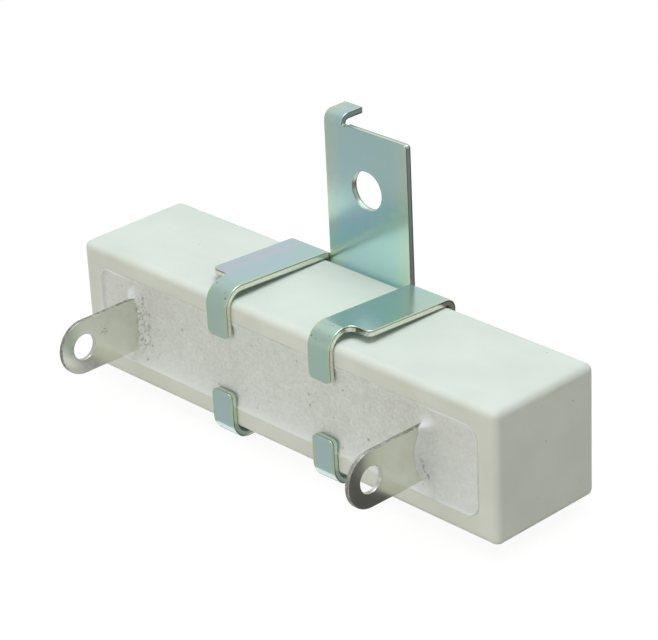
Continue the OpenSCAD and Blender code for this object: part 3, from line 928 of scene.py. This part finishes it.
def seen_part(tree):
    """One for what the eye sees, straight, in a reflection or through glass, and none for the light."""
    rays = put(tree, "ShaderNodeLightPath").outputs
    shown = rays["Is Camera Ray"]
    for kind in ("Is Glossy Ray", "Is Transmission Ray"):
        either = put(tree, "ShaderNodeMath", {0: shown, 1: rays[kind]}, operation="MAXIMUM")
        shown = either.outputs["Value"]
    return shown


bpy.ops.object.select_all(action="DESELECT")
bpy.ops.mesh.primitive_plane_add(size=sweep_size * mm, location=(0, 0, floor_z))
floor = bpy.context.object
floor.name = "paper_sweep"
paper, tree, place = new_finish("pale_paper")
whitening = put(tree, "ShaderNodeMath", {0: seen_part(tree), 1: white_part}, operation="MULTIPLY")
paper_matt = put(tree, "ShaderNodeBsdfDiffuse", {"Color": linear("#dcd9d1")})
paper_white = put(tree, "ShaderNodeEmission", {"Color": (1.0, 1.0, 1.0, 1.0), "Strength": 1.08})
paper_mix = put(tree, "ShaderNodeMixShader", {0: whitening.outputs["Value"], 1: paper_matt.outputs["BSDF"],
                                              2: paper_white.outputs["Emission"]})
put(tree, "ShaderNodeOutputMaterial", {"Surface": paper_mix.outputs["Shader"]})
floor.data.materials.append(paper)

# Reflection cards
# Cards that a photographer stands round bright metal, and only reflections see them: grey on the floor in
# front, behind on the left, by the left lug and under the case, grey upright on both sides, and dark on
# the floor behind on the right. The cards by the left lug and under the case are painted shadow for the
# floor's shade there, and the dark one, darkest by the case, is partly painted shadow too.
card_lift = 0.2

# Each line gives a card's middle over the floor, its size, its turn, and the tones of its front and back
cards = (("front_card", (-110, -209, 0), (700, 386.4), (0, 0, 0), (0.5, 0.5)),
         ("left_card", (-350, 0, 220), (480, 1000), (0, math.pi / 2, 0), (0.46, 0.75)),
         # The lug card and the under card are painted shadow: the floor's shade by and under the case, as
         # reflections show it
         ("lug_shadow_card", (-20, -15.2, 0), (20, 1.2), (0, 0, 0), (0.4, 0.4)),
         ("under_case_shadow_card", (-8, -7.3, 0.05), (44, 14.6), (0, 0, 0), (0.32, 0.32)),
         # A dark flag that, darkest by the case, is also painted shadow of the floor beside it
         ("dark_flag_and_shadow_card", (129.5, 91, 0.1), (231, 218), (0, 0, 0), (0.09, 0.42)),
         ("right_card", (245, -60, 220), (480, 880), (0, math.pi / 2, 0), (0.4, 0.35)),
         ("rear_card", (-143, 210, 0), (314, 380), (0, 0, 0), (0.5, 0.5)))
for name, spot, size, turn, tones in cards:
    card_z = floor_z + (spot[2] + card_lift) * mm
    bpy.ops.mesh.primitive_plane_add(size=1, rotation=turn, location=(spot[0] * mm, spot[1] * mm, card_z))
    card = bpy.context.object
    card.name = name
    card.scale = (size[0] * mm, size[1] * mm, 1)
    bpy.ops.object.transform_apply(location=True, rotation=True, scale=True)
    card_finish, tree, place = new_finish(name)
    axes = put(tree, "ShaderNodeSeparateXYZ", {"Vector": place})
    fade = put(tree, "ShaderNodeMapRange", {"Value": axes.outputs["Y"],
                                            "From Min": (spot[1] - size[1] / 2) * mm,
                                            "From Max": (spot[1] + size[1] / 2) * mm,
                                            "To Min": tones[0], "To Max": tones[1]})
    card_tone = put(tree, "ShaderNodeEmission", {"Strength": fade.outputs["Result"]})
    put(tree, "ShaderNodeOutputMaterial", {"Surface": card_tone.outputs["Emission"]})
    card.data.materials.append(card_finish)
    card.visible_camera = False
    card.visible_diffuse = False
    card.visible_shadow = False
    card.visible_transmission = False

# Light
# A bright room with a large cool soft box overhead, a little behind the case, and a weaker warm one low at
# the front, which no reflection shows. The room is white to the eye.
world = bpy.data.worlds.new("studio")
bpy.context.scene.world = world
world.use_nodes = True
tree = world.node_tree
tree.nodes.clear()
room_light = put(tree, "ShaderNodeBackground", {"Color": linear("#fffaf4"), "Strength": 0.295})
room_white = put(tree, "ShaderNodeBackground", {"Color": (1.0, 1.0, 1.0, 1.0), "Strength": 1.0})
room = put(tree, "ShaderNodeMixShader", {0: seen_part(tree), 1: room_light.outputs["Background"],
                                         2: room_white.outputs["Background"]})
put(tree, "ShaderNodeOutputWorld", {"Surface": room.outputs["Shader"]})

# Each line gives a box's place, its width, its power in watts and its colour
aim = Vector((0, -8, -12)) * mm
boxes = (("soft_box", (15, 16, 313), 235, 0.83, "#e4f9ff"),
         ("fill_box", (0, -340, 70), 260, 0.35, "#fffcf7"))
for name, spot, size, power, colour in boxes:
    bpy.ops.object.light_add(type="AREA", location=Vector(spot) * mm)
    lamp = bpy.context.object
    lamp.name = name
    lamp.data.shape = "SQUARE"
    lamp.data.size = size * mm
    lamp.data.energy = power
    lamp.data.color = linear(colour)[:3]
    lamp.visible_glossy = name != "fill_box"
    lamp.rotation_euler = (lamp.location - aim).to_track_quat("Z", "Y").to_euler()

# Camera
# A long lens, high and to the right of the front, as in the photograph, with its slight tilt.
eye = Vector((182.9, -176.3, 109.8)) * mm
azimuth = math.radians(47.17)
elevation = math.radians(26.08)
roll = math.radians(-2.83)
bpy.ops.object.camera_add(location=eye)
camera = bpy.context.object
camera.name = "camera"
lift = Matrix.Rotation(math.pi / 2 - elevation, 4, "X")
turn = Matrix.Rotation(azimuth, 4, "Z") @ lift @ Matrix.Rotation(roll, 4, "Z")
camera.matrix_world = Matrix.Translation(eye) @ turn
camera.data.sensor_width = 36
camera.data.lens = 149.0
camera.data.clip_start = 0.005
camera.data.clip_end = 10
bpy.context.scene.camera = camera
bpy.context.scene.view_settings.view_transform = "Standard"
